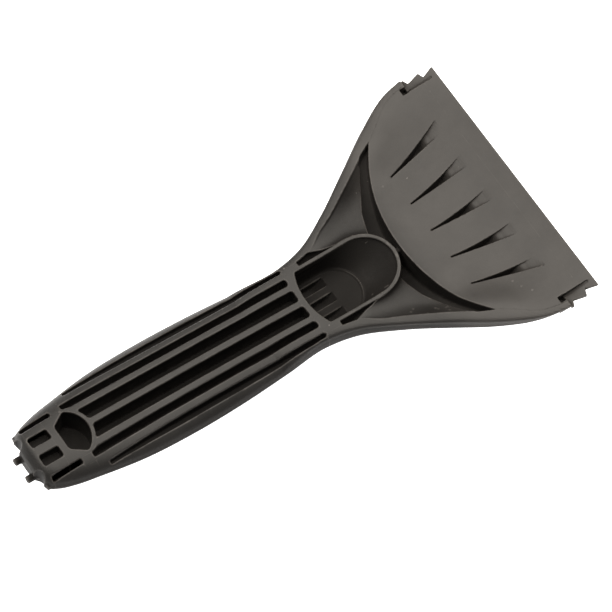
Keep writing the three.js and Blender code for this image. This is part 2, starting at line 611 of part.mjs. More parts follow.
const scraper = new THREE.Group();
scraper.name = 'ice_scraper';
parts.forEach((p) => scraper.add(p));
scraper.position.set(LENGTH / 2, 0, 0);

export default scraper;
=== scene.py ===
"""Windshield ice scraper, moulded in one dark grey plastic.

The CAD nodes are replaced one by one with finer pieces. Every piece is cut from one distance field of the
whole moulding, which gives it the real fillets and rounded edges, and neighbours overlap by a hidden lip,
so that no joint shows. Lengths are in millimetres, with x = 0 at the scraping edge, until a mesh is made.
"""
import math

import bpy
import numpy as np
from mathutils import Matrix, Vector


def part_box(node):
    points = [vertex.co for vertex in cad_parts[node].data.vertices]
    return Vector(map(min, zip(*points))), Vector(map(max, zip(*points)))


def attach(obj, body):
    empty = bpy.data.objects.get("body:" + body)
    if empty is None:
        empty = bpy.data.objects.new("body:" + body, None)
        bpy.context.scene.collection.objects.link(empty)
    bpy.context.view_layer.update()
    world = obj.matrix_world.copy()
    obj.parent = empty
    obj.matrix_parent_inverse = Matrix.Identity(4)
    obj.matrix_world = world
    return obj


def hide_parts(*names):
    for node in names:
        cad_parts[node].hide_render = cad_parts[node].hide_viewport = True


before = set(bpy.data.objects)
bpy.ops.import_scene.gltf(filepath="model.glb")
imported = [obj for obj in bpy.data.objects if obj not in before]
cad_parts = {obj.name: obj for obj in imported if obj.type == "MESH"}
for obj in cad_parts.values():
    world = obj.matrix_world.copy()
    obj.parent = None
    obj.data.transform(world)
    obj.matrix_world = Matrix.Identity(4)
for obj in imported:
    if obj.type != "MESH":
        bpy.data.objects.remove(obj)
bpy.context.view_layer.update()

MM = 0.001
EDGE_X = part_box("blade_edge")[1][0] / MM      # the scraping edge in the row frame
STEP = 0.3             # sample distance of the field
SHOWS = 0.6                                   # steps below the surface that still count as on it
SHARP = 55                                    # degrees between faces that meet in a crisp edge
LIP = 0.5                                     # how far a piece reaches into its neighbours
SUNK = 0.07                                   # how far that lip lies below the surface
ANYWHERE = -400.0                             # a distance that never limits a region
FIELD = [(-214, 1.5), (-60, 60), (-1.5, 22.5)]  # what the field spans along x, y and z

# ---- overall shape ---------------------------------------------------------------------------
END_X = -209.5
HALF_WIDTH = [(END_X, 8.6), (-207.5, 11.6), (-204, 13.8), (-198, 15.8), (-188, 17.7), (-172, 20.1),
              (-150, 21), (-130, 20.5), (-110, 19.1), (-92, 17.7), (-80, 20.2), (-66.5, 27.3),
              (-51.5, 37.1), (-36, 47.5), (-22.7, 54.5), (-11, 57.0)]
TOP_Z = [(END_X, 10.4), (-207, 12.7), (-200, 13.6), (-190, 13.75), (-100, 13.75), (-84, 13.4),
         (-64, 14.3), (-50, 16.2), (-36, 17.3), (-12, 19.4), (0, 20.2)]
WIDEST_Z = [(END_X, 7.2), (-130, 7.2), (-104, 8), (-80, 9), (-60, 11.4), (-40, 12.6),
            (-30, 14.2), (-21, 16.8), (-11, 18.6)]
BOTTOM_Z = [(END_X, 3.2), (-206, 0.9), (-200, -0.2), (-190, -0.35), (-75, -0.35), (-62, -0.18),
            (-50, 2.4), (-36, 9.4), (-22.7, 14.8), (-11, 17.6)]
REST_Z = 0.0
ROUND, SQUARE = 2, 7                          # powers of the top's section: round handle, squarer head
SQUARE_FROM = -112
SQUARE_RUN = 30
SIDE_LIMIT = 0.98                             # share of the half width up to which the top is read
SKIN = 1.8
EDGE_RADIUS = 0.4
END_RADIUS = 0.9

# ---- head --------------------------------------------------------------------------------------
EDGE_HALF = 55.0
EDGE_TOP = 20.2
EDGE_DEPTH = 6.0
EDGE_THICK = 0.8
PLATE_THICK = 2.4
DISH_X = -33.0
DISH_LOW = 13.4
PLATE_FLAT = 24.0                            # the plate rises to the arms beyond this half width
PLATE_BORDER = [(-50, 41), (-37, 42.5), (-30, 47), (-24, 53), (-18, 56.5), (-12, 58), (0, 58.5)]
REAR_X = -50.0
REAR_RADIUS = 70.0
BACK_WALL = 1.8
ARM_END = -12.8
ARM_INNER = [(-92, 15.4), (-84, 15.5), (-77.5, 17.2), (-72, 20.9), (-63.7, 25.2), (-55, 30.4), (-46, 36),
             (-41.5, 38.9), (-36.4, 41.6), (-30, 46.4), (-24.6, 50.6), (-18.3, 53), (ARM_END, 53.9), (0, 54)]
STRIP_HALF = 51.2
STRIP_STEP = 1.2                             # drop of the toothed strips below the plate
STRIP_STEP_X = -1.5
STRIP_STEP_RUN = 8
SLIT_HALF = 0.42                             # half width of the groove beside a toothed strip
SLIT_DEPTH = 1.6
SLIT_END = -2.5
NOTCH = 2.4                                  # small notch in the plate's corner, closed below by a boss
NOTCH_Y = (50.7, 53.3)
NOTCH_Z = 15.2
BOSS_WALL = 1.3
BOSS_Z = (13.6, 17.5)
BOSS_INNER = 49.0
BOSS_REACH = 1.6
TEETH = [(-4.8, 53.2), (-5.6, 55.7), (-10.7, 54.4), (-11.6, 56.6), (ARM_END, 56.4)]
RECESS_REAR = (-36.3, 13.25, 0.25)           # x, pitch, half width
RECESS_FRONT = (-12.0, 16.7, 2.3)
RECESS_DEPTH = [(0, 5.5), (0.5, 5.2), (0.63, 3.9), (0.72, 1.2), (0.85, 0.5), (1, 0.05), (1.1, -0.5)]
RECESS_FLARE = 1.4                           # power by which a recess widens along its length
RIDGE_WALL = 1.4
RIDGE_REACH = 6                              # half width of the strip in which a ridge piece lies

# ---- thumb cup and waist ---------------------------------------------------------------------------
CUP_CENTRE = -65.5
CUP_INNER = 12.1
CUP_OUTER = 13.7
CUP_REAR = -87.4
CROSSBAR_FRONT = -90.0
CROSSBAR_REAR = -92.5
RIM = [(CUP_REAR, 13.4), (CUP_CENTRE + CUP_INNER, 15.3)]
PAD_CENTRE = -78.4
PAD_HALF = 10.9
PAD = [(CUP_REAR, 4.6), (PAD_CENTRE + PAD_HALF, 5.9)]
PAD_BEAD = 0.4                               # height and width of the bead round the pad
RIM_DROP = 0.9                               # how far below the rim the slope ends
SLOPE_POWER = 1.35                           # how the cup's slope steepens from the pad to the rim
PAD_SLOTS = [(-1.8, 1.8), (5.2, 8.9)]        # across, from the middle outwards
PAD_SLOT_DEPTH = [(CUP_REAR, 3.4), (-82.5, 3.1), (-79, 1.0), (-77, -0.6)]
BRIDGE_HALF = 1.0
BRIDGE_OVERLAP = 3
WEB_TOP = 11.8
RIM_RISE = 1.8                               # rise of the web up to the cup's rim
RIM_SWEEP = 2.2                              # width over which it rises
WEB_SWEEP = 7.5                              # width over which the web rises to the arm
ARM_ARRIS = 0.4                              # how far the arm stands above it there
WEB_FRONT = [(-57.7, 11.7), (-55.8, 15), (-53.5, 20), (-51.4, 25), (-49.4, 30), (-47.3, 36)]
WEB_REAR = [(-79.5, 16.65), (-74, 14.7), (-67, 13.4)]
POCKET_FLOOR = [(-84, 3.0), (-76, 6.5), (-66, 11)]
POCKET_SLOPE = 1.3                           # fall of the pocket's side towards the thumb cup
NECK_HALF = 15.5
CORNER_FRONT = -84.3                         # front of the crossbar's corners

# ---- handle and butt -------------------------------------------------------------------------------
MIDDLE_RIB = 1.3
GAP_A = ([(-184, 15.65), (-157, 14.8), (-130, 14.5), (-95, 14.5)],           # inner and outer side
         [(-185, 16.95), (-155, 17.35), (-125, 17.05), (-95, 16.15)])
GAP_B = ([(-185, 9.4), (-147, 8.91), (-110, 8.75)], [(-185, 12.25), (-147, 11.76), (-110, 11.6)])
GAP_C = [(-185, 6.52), (-147, 6.26), (-110, 6.17)]
FLOOR = {"c": 6.4, "b": 7.3, "a": 8.6}
FLOOR_THICK = 2.0
GAP_A_REAR = -184.0
RING_CENTRE = -194.5
RING_INNER = 10.9
RING_WALL = 1.6
RING_BASE = (-194.3, 5.2)
RING_SHOULDER = (-188.5, 9.1)
RING_REAR = -197.3
RING_SIDE = 10.2
RING_FLOOR = 1.6
SHOULDER_FRONT = -188.0
SHOULDER_OUTER = 13.5
SLIT_FRONT = -192.7
SLIT_OUTER = 12.1
WINDOW = (1.9, 6.3)
END_WALL = -205.2
WINDOW_FLOOR = 9.5
SLIT_FLOOR = 6.5
NIBS = [(11.1, 7.2, -208.0), (4.2, 5.6, -212.0)]      # y, z, tip
NIB_ROOT = -207.0
NIB_RADIUS = 1.45
SCALLOP = (-209.7, 7.7, 2.7)


# ---- curves and distances ----------------------------------------------------------------------------
def curve(stations, x):
    """A smooth curve through (x, value) stations, read at x, level beyond its ends."""
    px, pv = (np.array(c, dtype=float) for c in zip(*stations))
    slope = np.gradient(pv, px) if len(px) > 2 else np.full(2, (pv[1] - pv[0]) / (px[1] - px[0]))
    x = np.clip(x, px[0], px[-1])
    i = np.clip(np.searchsorted(px, x, side="right") - 1, 0, len(px) - 2)
    h = px[i + 1] - px[i]
    t = (x - px[i]) / h
    bend = t * (1 - t)
    rise = pv[i + 1] - pv[i]
    return pv[i] + rise * t * t * (3 - 2 * t) + h * bend * ((1 - t) * slope[i] - t * slope[i + 1])


def line(stations, x):
    """The same stations joined by straight lines."""
    px, pv = zip(*stations)
    return np.interp(x, px, pv)


def beside(track, x, a):
    """Distance of (x, a) from the curve a = track(x), positive on its outer side."""
    lean = track(x + 0.5) - track(x - 0.5)
    return (a - track(x)) / np.sqrt(1 + lean * lean)


def across(p, q, x, a):
    """Distance from the line through plan points p and q, positive on its left going from p to q."""
    dx, dy = q[0] - p[0], q[1] - p[1]
    return ((a - p[1]) * dx - (x - p[0]) * dy) / math.hypot(dx, dy)


def polygon(points, x, a):
    """Signed plan distance from a closed outline, negative inside."""
    nearest = np.full(np.broadcast(x, a).shape, 1e9)
    inside = np.zeros(nearest.shape, dtype=bool)
    for (px, py), (qx, qy) in zip(points, points[1:] + points[:1]):
        dx, dy = qx - px, qy - py
        t = np.clip(((x - px) * dx + (a - py) * dy) / (dx * dx + dy * dy), 0, 1)
        nearest = np.minimum(nearest, np.hypot(x - px - t * dx, a - py - t * dy))
        if dy:
            crosses = ((py > a) != (qy > a)) & (x < px + (a - py) * dx / dy)
            inside ^= crosses
    return np.where(inside, -nearest, nearest)


def both(a, b, r=0.0):
    """Where a and b overlap, with a rounded edge of radius r."""
    if not r:
        return np.maximum(a, b)
    corner = np.hypot(np.maximum(r + a, 0), np.maximum(r + b, 0))
    return np.minimum(-r, np.maximum(a, b)) + corner


def either(a, b, r=0.0):
    """a and b together, with a fillet of radius r between them."""
    return -both(-a, -b, r)


def carve(solid, pocket, r=EDGE_RADIUS):
    return both(solid, -pocket, r)


# ---- plan curves of the design, for the left half --------------------------------------------------------
def gap_a1(x):
    return curve(GAP_A[1], x)


def gap_a2(x):
    return curve(GAP_A[0], x)


def gap_b1(x):
    return curve(GAP_B[1], x)


def gap_b2(x):
    return curve(GAP_B[0], x)


def gap_c1(x):
    return curve(GAP_C, x)


def middle_rib(x):
    return MIDDLE_RIB + 0 * x


def arm_inner(x):
    return curve(ARM_INNER, x)


def rear_edge(a):
    return REAR_X + REAR_RADIUS - np.sqrt(REAR_RADIUS ** 2 - np.minimum(a, 45) ** 2)


def cup_edge(a):
    return CROSSBAR_FRONT + (CUP_REAR - CROSSBAR_FRONT) * (a / CUP_INNER) ** 2


def handle_edge(a):
    return CROSSBAR_REAR + (np.minimum(a, NECK_HALF) / NECK_HALF) ** 2


def cup_plan(x, a, r):
    """Distance from the U-shaped outline of radius r round the thumb cup."""
    return np.where(x > CUP_CENTRE, np.hypot(x - CUP_CENTRE, a), a) - r


def ring_plan(x, a, grow=0.0):
    """Distance from the hanging hole, or with grow from the outside of its wall."""
    disc = np.hypot(x - RING_CENTRE, a) - RING_INNER - grow
    side = across(RING_BASE, RING_SHOULDER, x, a) - grow
    base = RING_BASE[0] - x - grow
    return both(disc, both(side, base, 0.8 + grow), 0.8 + grow)


def ring_outside(x, a):
    block = both(a - RING_SIDE, RING_REAR - x)
    return both(np.hypot(x - RING_CENTRE, a) - RING_INNER - RING_WALL, block, 0.5)


def outer_body(x, a, z):
    """The scraper's outer skin: rounded sections along the length, flat where it rests."""
    w, mid = curve(HALF_WIDTH, x), curve(WIDEST_Z, x)
    rise = np.where(z > mid, curve(TOP_Z, x) - mid, mid - curve(BOTTOM_Z, x))
    power = np.where(z > mid, squareness(x), 2.0)
    u, v = a / w, np.abs(z - mid) / rise
    k = np.maximum((u ** power + v ** power) ** (1 / power), 1e-3)
    slope = np.hypot(u ** (power - 1) / w, v ** (power - 1) / rise) * k ** (1 - power)
    body = (k - 1) / np.maximum(slope, 1e-3)
    body = both(body, REST_Z - z, EDGE_RADIUS)
    body = both(body, END_X - x, END_RADIUS)
    return both(body, x - ARM_END, 0.3)


def underside(x, a):
    w, mid = curve(HALF_WIDTH, x), curve(WIDEST_Z, x)
    return mid - (mid - curve(BOTTOM_Z, x)) * np.sqrt(np.maximum(1 - (a / w) ** 2, 0))


def squareness(x):
    return ROUND + (SQUARE - ROUND) * np.clip((x - SQUARE_FROM) / SQUARE_RUN, 0, 1)


def body_top(x, a):
    """Height of the outer body's top."""
    mid, power = curve(WIDEST_Z, x), squareness(x)
    side = np.minimum(a / curve(HALF_WIDTH, x), SIDE_LIMIT) ** power
    return mid + (curve(TOP_Z, x) - mid) * (1 - side) ** (1 / power)


def plate_top(x, a):
    """The plate is a dish that rises smoothly into the arms on both sides."""
    middle = DISH_LOW + (EDGE_TOP - DISH_LOW) * ((x - DISH_X) / DISH_X) ** 2
    rise = np.clip((a - PLATE_FLAT) / (curve(PLATE_BORDER, x) - PLATE_FLAT), 0, 1)
    return middle + (body_top(x, a) - middle) * rise * rise * (3 - 2 * rise)


def plate_under(x, a):
    thick = PLATE_THICK - (PLATE_THICK - EDGE_THICK) * np.clip(1 + x / EDGE_DEPTH, 0, 1)
    return plate_top(x, a) - thick


# ---- the moulding -----------------------------------------------------------------------------------
def handle_gaps(solid, x, a, z):
    """Long gaps between the ribs, above and below their floors."""
    ends = both(x - handle_edge(a), -ring_outside(x, a))
    for key, inner, outer, rear in (("a", gap_a2, gap_a1, GAP_A_REAR), ("b", gap_b2, gap_b1, SHOULDER_FRONT),
                                    ("c", middle_rib, gap_c1, RING_CENTRE)):
        sides = both(beside(outer, x, a), -beside(inner, x, a))
        plan = both(both(sides, ends, 1.1), rear - x, 0.6)
        top, under = FLOOR[key] - z, z - (FLOOR[key] - FLOOR_THICK)
        solid = carve(solid, both(plan, top, 0.5))
        solid = carve(solid, both(plan, under, 0.5))
    return solid


def butt(solid, x, a, z):
    """The hanging hole, the windows and slits behind it and the scalloped end."""
    solid = carve(solid, both(ring_plan(x, a), RING_FLOOR - z, 0.6))
    behind = END_WALL - x
    window = both(both(a - WINDOW[1], WINDOW[0] - a), both(behind, x - RING_REAR), 0.9)
    slit = both(both(a - SLIT_OUTER, RING_SIDE - a), both(behind, x - SLIT_FRONT), 0.7)
    for plan, floor in ((window, WINDOW_FLOOR), (slit, SLIT_FLOOR)):
        solid = carve(solid, both(plan, floor - z, 0.4))
        solid = carve(solid, both(plan, z - (floor - FLOOR_THICK), 0.4))
    scallop = np.hypot(x - SCALLOP[0], a - SCALLOP[1]) - SCALLOP[2]
    solid = carve(solid, scallop + 0 * z)
    for y, height, tip in NIBS:
        peg = both(np.hypot(a - y, z - height) - NIB_RADIUS, span(x, tip, NIB_ROOT + 1), 0.5)
        solid = either(solid, peg, 0.5)
    return solid


def scoop(x, a):
    """Height of the thumb cup's inside: a slightly proud pad, with a slope up to the rim."""
    pad = np.where(x > PAD_CENTRE, np.hypot(x - PAD_CENTRE, a), a) - PAD_HALF
    wall = -cup_plan(x, a, CUP_INNER)
    out = np.clip(pad, 0, None)
    t = out / np.maximum(out + np.maximum(wall, 0), 0.05)
    level = line(PAD, x)
    bead = PAD_BEAD * np.exp(-(pad / PAD_BEAD) ** 2)
    return level + bead + (line(RIM, x) - RIM_DROP - level) * t ** SLOPE_POWER


def waist(solid, x, a, z):
    """Webs, deep pockets and the thumb cup between the two arms."""
    inside = beside(arm_inner, x, a)
    outside_cup = -cup_plan(x, a, CUP_OUTER)
    area = both(both(inside, outside_cup, 0.3), both(CORNER_FRONT - 0.2 - x, x - rear_edge(a)), 0.3)
    near_rim = np.clip(-outside_cup, 0, None)
    near_arm = np.clip(1 + inside / WEB_SWEEP, 0, 1)
    web = WEB_TOP + RIM_RISE * np.exp(-near_rim / RIM_SWEEP)
    web = web + (curve(TOP_Z, x) - ARM_ARRIS - WEB_TOP) * near_arm ** 2
    solid = carve(solid, both(area, web - z, 0.9))

    past_web = a - line(WEB_REAR, x)
    behind_web = both(area, both(past_web, x - WEB_REAR[-1][0]), 0.3)
    floor = np.maximum(line(POCKET_FLOOR, x), WEB_TOP + POCKET_SLOPE * past_web)
    solid = carve(solid, both(behind_web, floor - z, 0.5))
    front = 0 * x + 0 * a - 1e3
    for p, q in zip(WEB_FRONT, WEB_FRONT[1:]):
        front = np.maximum(front, across(p, q, x, a))
    crescent = both(area, both(front, BRIDGE_HALF - a), 0.4)
    solid = carve(solid, both(crescent, underside(x, a) + SKIN - z, 0.6))

    rim = both(cup_plan(x, a, CUP_OUTER) - 0.3, cup_edge(a) - x)
    solid = carve(solid, both(rim, line(RIM, x) - z), 0.3)
    inner = both(cup_plan(x, a, CUP_INNER), cup_edge(a) - x, 0.6)
    solid = carve(solid, both(inner, scoop(x, a) - z), 0.5)
    slot_floor = line(PAD, x) - curve(PAD_SLOT_DEPTH, x)
    for low, high in PAD_SLOTS:
        slot = both(span(a, low, high), span(x, cup_edge(a), PAD_SLOT_DEPTH[-1][0]), 0.5)
        solid = carve(solid, both(slot, slot_floor - z, 0.4), 0.3)
    return solid


def recess(x, y, grow=0.0):
    """(plan distance, floor height) of the nearest of the five fanned recesses."""
    along = (x - RECESS_REAR[0]) / (RECESS_FRONT[0] - RECESS_REAR[0])
    pitch = RECESS_REAR[1] + (RECESS_FRONT[1] - RECESS_REAR[1]) * along
    half = RECESS_REAR[2] + (RECESS_FRONT[2] - RECESS_REAR[2]) * np.clip(along, 0, 2) ** RECESS_FLARE
    number = np.clip(np.round(y / pitch), -2, 2)
    sides = np.abs(y - number * pitch) - half - grow
    plan = both(sides, both(RECESS_REAR[0] - grow - x, x - RECESS_FRONT[0] - 1), 0.2 + grow)
    depth = curve(RECESS_DEPTH, along)
    return plan, plate_top(x, np.abs(number * pitch)) - depth


def head(solid, x, a, z):
    """Dished plate, scraping edge, toothed strips and the recesses with their ridges."""
    inside = beside(arm_inner, x, a)
    top, under = plate_top(x, a), plate_under(x, a)
    plate = both(inside, rear_edge(a) - x)
    solid = carve(solid, both(plate, top - z), 0.3)
    below = both(inside, rear_edge(a) + BACK_WALL - x)
    solid = carve(solid, both(below, z - under), 0.3)
    slab = both(z - top, under - z, 0.25)
    middle = both(inside + 0.2, both(rear_edge(a) - x, x - ARM_END + NOTCH))
    front = both(both(a - STRIP_HALF, x), ARM_END - NOTCH - 0.5 - x)
    solid = either(solid, both(np.minimum(middle, front), slab, 0.25))

    drop = STRIP_STEP * np.clip((STRIP_STEP_X - x) / STRIP_STEP_RUN, 0, 1)
    outline = [(0.0, STRIP_HALF - 1), (0.0, EDGE_HALF)] + TEETH + [(ARM_END, STRIP_HALF - 1)]
    strip_under = np.minimum(under, top - drop - EDGE_THICK)
    strip = both(polygon(outline, x, a), both(z - top + drop, strip_under - z), 0.2)
    solid = either(solid, strip)
    notch = both(span(x, ARM_END - NOTCH, ARM_END), span(a, *NOTCH_Y))
    boss = both(notch - BOSS_WALL, both(z - BOSS_Z[1], BOSS_Z[0] - z, 0.5), 0.5)
    solid = carve(either(solid, boss, 0.4), both(notch, NOTCH_Z - z), 0.2)
    slit = both(np.abs(a - STRIP_HALF) - SLIT_HALF, span(x, ARM_END - 0.5, SLIT_END))
    solid = carve(solid, both(slit, top - SLIT_DEPTH * np.clip(x / ARM_END, 0, 1) - z), 0.1)

    wide, floor = recess(x, a, RIDGE_WALL)
    ridge = both(wide, both(floor - RIDGE_WALL - z, z - under - 0.5), 0.5)
    solid = either(solid, ridge, 0.5)
    narrow, floor = recess(x, a)
    return carve(solid, both(narrow, floor - z), 0.2)


def moulding(x, y, z):
    """Signed distance from the whole scraper, found a section at a time along its length."""
    a = np.abs(y)
    solid = outer_body(x, a, z).astype(np.float32)
    features = ((-200, -90, handle_gaps), (-214, -183, butt), (-93, -34, waist), (-53, 2, head))
    for low, high, feature in features:
        part = slice(*np.searchsorted(x[:, 0, 0], (low, high)))
        solid[part] = feature(solid[part], x[part], a, z)
    return solid


# ---- pieces: each is the part of the moulding in a region of its own -----------------------------------
def span(value, low, high):
    return np.maximum(low - value, value - high)


def box_region(x0, x1, a0, a1):
    return lambda x, a, z: both(span(x, x0, x1), span(a, a0, a1))


def between(inner, outer, rear=ANYWHERE):
    def region(x, a, z):
        sides = both(beside(outer, x, a), -beside(inner, x, a))
        ends = both(x - handle_edge(a), -ring_outside(x, a))
        return both(both(sides, ends), rear - x)
    return region


def handle_side(x, a, z):
    behind_gap = np.where(x > GAP_A_REAR, gap_a1(x), gap_a2(x))
    inner = np.where(x > SHOULDER_FRONT, behind_gap, np.where(x > SLIT_FRONT, SHOULDER_OUTER, SLIT_OUTER))
    return both(inner - a, span(x, END_WALL, CROSSBAR_REAR + 1))


def in_waist(x, a):
    return both(beside(arm_inner, x, a), cup_edge(np.minimum(a, CUP_INNER)) - x)


def above_skin(x, a, z):
    return underside(x, a) + SKIN - z


def arm(x, a, z):
    bar = both(-beside(arm_inner, x, a), span(x, CROSSBAR_REAR + 1, ARM_END))
    boss = both(span(x, ARM_END - NOTCH - BOSS_REACH, ARM_END + BOSS_REACH),
                both(BOSS_INNER - a, z - plate_under(x, a)))
    return np.minimum(bar, boss)


def crossbar(x, a, z):
    middle = both(x - cup_edge(a), a - CUP_OUTER)
    corner = both(x - CORNER_FRONT, CUP_OUTER - a)
    return both(np.minimum(middle, corner), both(beside(arm_inner, x, a), handle_edge(a) - x))


def cup_wall(x, a, z):
    ring = both(cup_plan(x, a, CUP_OUTER), -cup_plan(x, a, CUP_INNER))
    return both(both(ring, in_waist(x, a)), above_skin(x, a, z))


def thumb_scoop(x, a, z):
    return both(both(cup_plan(x, a, CUP_INNER), in_waist(x, a)), above_skin(x, a, z))


def belly_skin(x, a, z):
    rear = np.where(a > CUP_OUTER, CORNER_FRONT - x, ANYWHERE)
    plan = both(both(in_waist(x, a), x - rear_edge(a)), rear)
    return both(plan, -above_skin(x, a, z))


def cup_bridge(x, a, z):
    plan = both(a - BRIDGE_HALF, both(x - rear_edge(a), -cup_plan(x, a, CUP_OUTER)))
    return both(both(plan, REAR_X - 4 - x), above_skin(x, a, z))


def web(x, a, z):
    plan = both(beside(arm_inner, x, a), -cup_plan(x, a, CUP_OUTER))
    plan = both(plan, both(BRIDGE_HALF + BRIDGE_OVERLAP - a, span(x, CORNER_FRONT, rear_edge(a))))
    return both(plan, above_skin(x, a, z))


def plate_back_wall(x, a, z):
    plan = both(span(x, rear_edge(a), rear_edge(a) + BACK_WALL), beside(arm_inner, x, a))
    return both(plan, z - plate_under(x, a))


def head_plate(x, a, z):
    plan = both(rear_edge(a) - x, both(beside(arm_inner, x, a), x + EDGE_DEPTH))
    plan = both(plan, np.where(x > ARM_END, a - STRIP_HALF, ANYWHERE))
    return both(plan, plate_under(x, a) - 0.1 - z)


def ice_ridge(number):
    def region(x, y, z):
        wide, _ = recess(x, y, RIDGE_WALL + 0.6)
        along = (x - RECESS_REAR[0]) / (RECESS_FRONT[0] - RECESS_REAR[0])
        pitch = RECESS_REAR[1] + (RECESS_FRONT[1] - RECESS_REAR[1]) * along
        own = np.abs(y - number * pitch) - RIDGE_REACH
        return both(both(wide, own), z - plate_under(x, np.abs(y)) + 0.1)
    return region


def blade_edge(x, a, z):
    return both(-EDGE_DEPTH - x, a - STRIP_HALF)


def tooth_strip(x, a, z):
    return both(ARM_END - x, STRIP_HALF - a)


def end_nib(y, height):
    return lambda x, side, z: both(x - NIB_ROOT, np.hypot(side - y, z - height) - NIB_RADIUS - 0.6)


def end_wall(x, a, z):
    nibs = np.minimum(*(end_nib(y, height)(x, a, z) for y, height, _ in NIBS))
    return both(x - END_WALL, -nibs)


def ring(x, a, z):
    return both(ring_outside(x, a), -ring_plan(x, a))


def ring_floor(x, a, z):
    return ring_plan(x, a) + 0 * z


def shoulder(x, a, z):
    plan = both(span(x, SLIT_FRONT, SHOULDER_FRONT), span(a, 0, SHOULDER_OUTER))
    return both(plan, -ring_outside(x, a))


def pieces():
    """Every piece as (CAD node, region, lowest x, highest x, lowest y, highest y)."""
    no_rib = lambda x: -2 + 0 * x
    middle = [
        ("handle_rib_3", between(no_rib, middle_rib), -192, -90, 2.5),
        ("hanging_ring", ring, -198.5, -181, 12),
        ("ring_floor", ring_floor, -196, -182, 12),
        ("end_rib_middle", box_region(END_WALL, RING_REAR, -1, WINDOW[0]), -206, -196, 3),
        ("end_wall", end_wall, -210.5, -203.5, 16),
        ("crossbar", crossbar, -94, -83, 17),
        ("thumb_cup_wall", cup_wall, -91, -51, 15),
        ("thumb_scoop", thumb_scoop, -91.5, -52, 14),
        ("cup_bridge", cup_bridge, -55, -48, 3),
        ("belly_skin", belly_skin, -92, -35, 43),
        ("plate_back_wall", plate_back_wall, -52, -34, 43),
        ("head_plate", head_plate, -52, -4, 56),
        ("blade_edge", blade_edge, -8, 1, 53),
    ]
    sides = [
        ("arm_{}", arm, -94, -11, 13, 59),
        ("web_{}", web, -86, -44, 2, 38),
        ("tooth_strip_{}", tooth_strip, -14.5, 1, 49, 58),
        ("handle_side_{}", handle_side, -206, -90, 10.5, 23),
        ("shoulder_{}", shoulder, -194, -187, 8, 15),
        ("end_rib_{}", box_region(END_WALL, RING_REAR, WINDOW[1], RING_SIDE), -206, -196, 4, 12),
        ("window_floor_{}", box_region(END_WALL, RING_REAR, *WINDOW), -206, -196, 1, 8),
        ("slit_floor_{}", box_region(END_WALL, SLIT_FRONT, RING_SIDE, SLIT_OUTER), -206, -191, 9, 14),
        ("gap_floor_a_{}", between(gap_a2, gap_a1, GAP_A_REAR), -186, -90, 12, 19),
        ("gap_floor_b_{}", between(gap_b2, gap_b1, SHOULDER_FRONT), -190, -90, 7, 14),
        ("gap_floor_c_{}", between(middle_rib, gap_c1), -192, -90, 0, 8),
    ]
    ribs = [(1, gap_b1, gap_a2, 1), (2, gap_c1, gap_b2, 1), (4, gap_c1, gap_b2, -1), (5, gap_b1, gap_a2, -1)]
    for name, region, x0, x1, reach in middle:
        yield name, region, x0, x1, -reach, reach
    for name, region, x0, x1, y0, y1 in sides:
        yield name.format("left"), region, x0, x1, y0, y1
        yield name.format("right"), region, x0, x1, -y1, -y0
    for number, inner, outer, side in ribs:
        region = between(inner, outer, SHOULDER_FRONT if inner is gap_b1 else -192)
        y0, y1 = sorted((4.5 * side, 17.5 * side))
        yield f"handle_rib_{number}", region, -193, -90, y0, y1
    for k in range(-2, 3):
        y0, y1 = sorted((k * RECESS_REAR[1], k * RECESS_FRONT[1]))
        yield f"ice_ridge_{k + 3}", ice_ridge(k), -40, -9, y0 - RIDGE_REACH, y1 + RIDGE_REACH
    nibs = NIBS + [(-y, height, tip) for y, height, tip in reversed(NIBS)]
    for number, (y, height, tip) in enumerate(nibs, 1):
        yield f"end_nib_{number}", end_nib(y, height), tip - 1, NIB_ROOT + 1, y - 4, y + 4


# ---- meshes ----------------------------------------------------------------------------------------
CORNERS = [(i, j, k) for i in (0, 1) for j in (0, 1) for k in (0, 1)]


def surface_net(field):
    """Points and quads of the zero surface, in cells: one point in each cell that the surface crosses."""
    inside = field < 0
    n = [c - 1 for c in field.shape]
    count = sum(inside[i:i + n[0], j:j + n[1], k:k + n[2]].astype(np.int8) for i, j, k in CORNERS)
    cells = np.argwhere((count > 0) & (count < 8))
    number = np.full(count.shape, -1)
    number[tuple(cells.T)] = np.arange(len(cells))
    total, hits = np.zeros((len(cells), 3)), np.zeros(len(cells))
    for p in CORNERS:
        for axis in range(3):
            if p[axis]:
                continue
            q = tuple(c + (axis == m) for m, c in enumerate(p))
            fp, fq = field[tuple((cells + p).T)], field[tuple((cells + q).T)]
            cut = (fp < 0) != (fq < 0)
            t = fp[cut] / (fp[cut] - fq[cut])
            point = np.tile(np.array(p, dtype=float), (len(t), 1))
            point[:, axis] += t
            total[cut] += point
            hits[cut] += 1
    points = cells + total / hits[:, None]
    quads = []
    for axis in range(3):
        u, v = (axis + 1) % 3, (axis + 2) % 3
        ahead = np.take(inside, range(1, field.shape[axis]), axis)
        here = np.take(inside, range(field.shape[axis] - 1), axis)
        edges = np.argwhere(ahead != here)
        edges = edges[(edges[:, u] > 0) & (edges[:, v] > 0) & (edges[:, u] < n[u]) & (edges[:, v] < n[v])]
        du, dv = np.eye(3, dtype=int)[u], np.eye(3, dtype=int)[v]
        ring_of = [number[tuple((edges - s).T)] for s in (du + dv, dv, 0 * du, du)]
        quad = np.stack(ring_of, axis=1)
        rising = here[tuple(edges.T)]
        quad[~rising] = quad[~rising][:, ::-1]
        quads.append(quad)
    return points, np.concatenate(quads)


